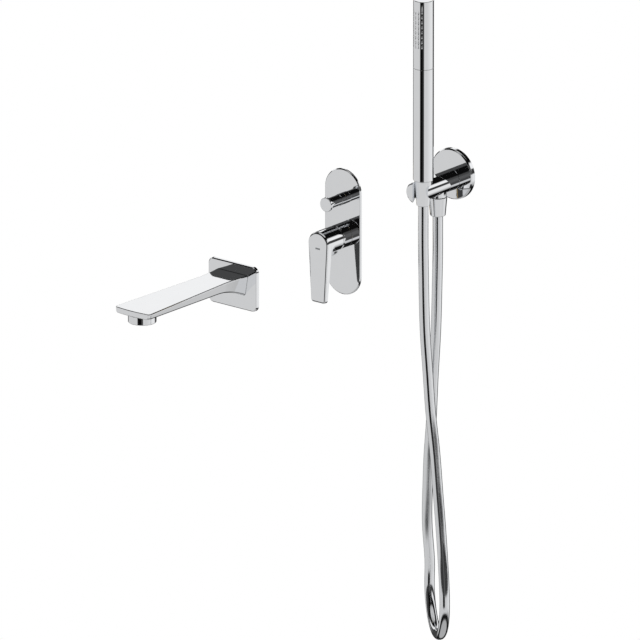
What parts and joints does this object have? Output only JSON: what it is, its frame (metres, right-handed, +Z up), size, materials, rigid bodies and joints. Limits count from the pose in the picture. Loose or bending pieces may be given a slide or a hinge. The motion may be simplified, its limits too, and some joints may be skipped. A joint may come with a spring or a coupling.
{
  "type": "wall mounted bath faucet",
  "caption": "Wall mounted bath faucet: flat spout, built-in lever mixer with pull-out diverter, and a shower outlet that holds a stick hand shower on a hose.",
  "frame": {"origin": "on the wall's face, in the back of the mixer's wall plate, midway between the lever's axis and the diverter's axis", "axes": "+X to the right as one faces the wall, +Y into the wall, +Z up; the faucet stands out towards -Y"},
  "size_m": [0.451, 0.2692, 0.8435],
  "materials": {
    "chrome": "polished",
    "brass": "machined",
    "steel": "machined",
    "hose_silver": "smooth silver film",
    "seal_rubber": "moulded",
    "nozzle_rubber": "moulded silicone",
    "white_plastic": "moulded",
    "ceramic": "lapped ceramic",
    "indicator": "filled mark"
  },
  "bodies": {
    "root": {"mixer_wall_plate": "chrome", "mixer_gasket": "seal_rubber", "mixer_body": "brass", "cartridge_body": "white_plastic", "cartridge_fixed_disc": "ceramic", "cartridge_nut": "brass", "cartridge_sleeve": "chrome", "diverter_bonnet": "brass", "diverter_sleeve": "chrome", "spout_wall_plate": "chrome", "spout_gasket": "seal_rubber", "spout_body": "chrome", "spout_nipple": "brass", "spout_o_ring": "seal_rubber", "spout_set_screw": "steel", "aerator_housing": "chrome", "aerator_insert": "white_plastic", "aerator_washer": "seal_rubber", "outlet_wall_plate": "chrome", "outlet_gasket": "seal_rubber", "outlet_nipple": "brass", "outlet_o_ring": "seal_rubber", "outlet_set_screw": "steel", "holder_arm": "chrome", "hose_connector": "brass", "check_valve": "white_plastic", "outlet_hose_nut": "chrome", "outlet_hose_washer": "seal_rubber", "outlet_hose_ferrule": "brass", "shower_hose": "hose_silver"},
    "lever_spindle": {"cartridge_carrier": "white_plastic", "cartridge_moving_disc": "ceramic", "cartridge_pivot_pin": "steel"},
    "lever": {"lever_handle": "chrome", "lever_set_screw": "steel", "lever_indicator": "indicator", "cartridge_stem": "brass"},
    "diverter": {"diverter_knob": "chrome", "diverter_rod": "steel", "diverter_front_seal": "seal_rubber", "diverter_back_seal": "seal_rubber"},
    "handset_swivel": {"handset_hose_ferrule": "brass"},
    "handset": {"handset_hose_nut": "chrome", "handset_hose_washer": "seal_rubber", "handset_tube": "chrome", "handset_o_ring": "seal_rubber", "handset_head": "chrome", "handset_nozzles": "nozzle_rubber"}
  },
  "joints": [
    {"name": "lever_turn", "type": "hinge", "parent": "root", "child": "lever_spindle", "pos_m": [0, 0, -0.0242], "axis": [0, -1, 0], "range_deg": [-45, 45]},
    {"name": "lever_lift", "type": "hinge", "parent": "lever_spindle", "child": "lever", "pos_m": [0, -0.004, -0.0242], "axis": [-1, 0, 0], "range_deg": [0, 25]},
    {"name": "diverter_pull", "type": "slide", "parent": "root", "child": "diverter", "axis": [0, -1, 0], "range_m": [0, 0.009]},
    {"name": "handset_lift", "type": "slide", "parent": "root", "child": "handset_swivel", "axis": [0, 0, 1], "range_m": [0, 0.05]},
    {"name": "handset_spin", "type": "hinge", "parent": "handset_swivel", "child": "handset", "pos_m": [0.1785, -0.0625, 0.1008], "axis": [0, 0, 1], "continuous": true}
  ]
}
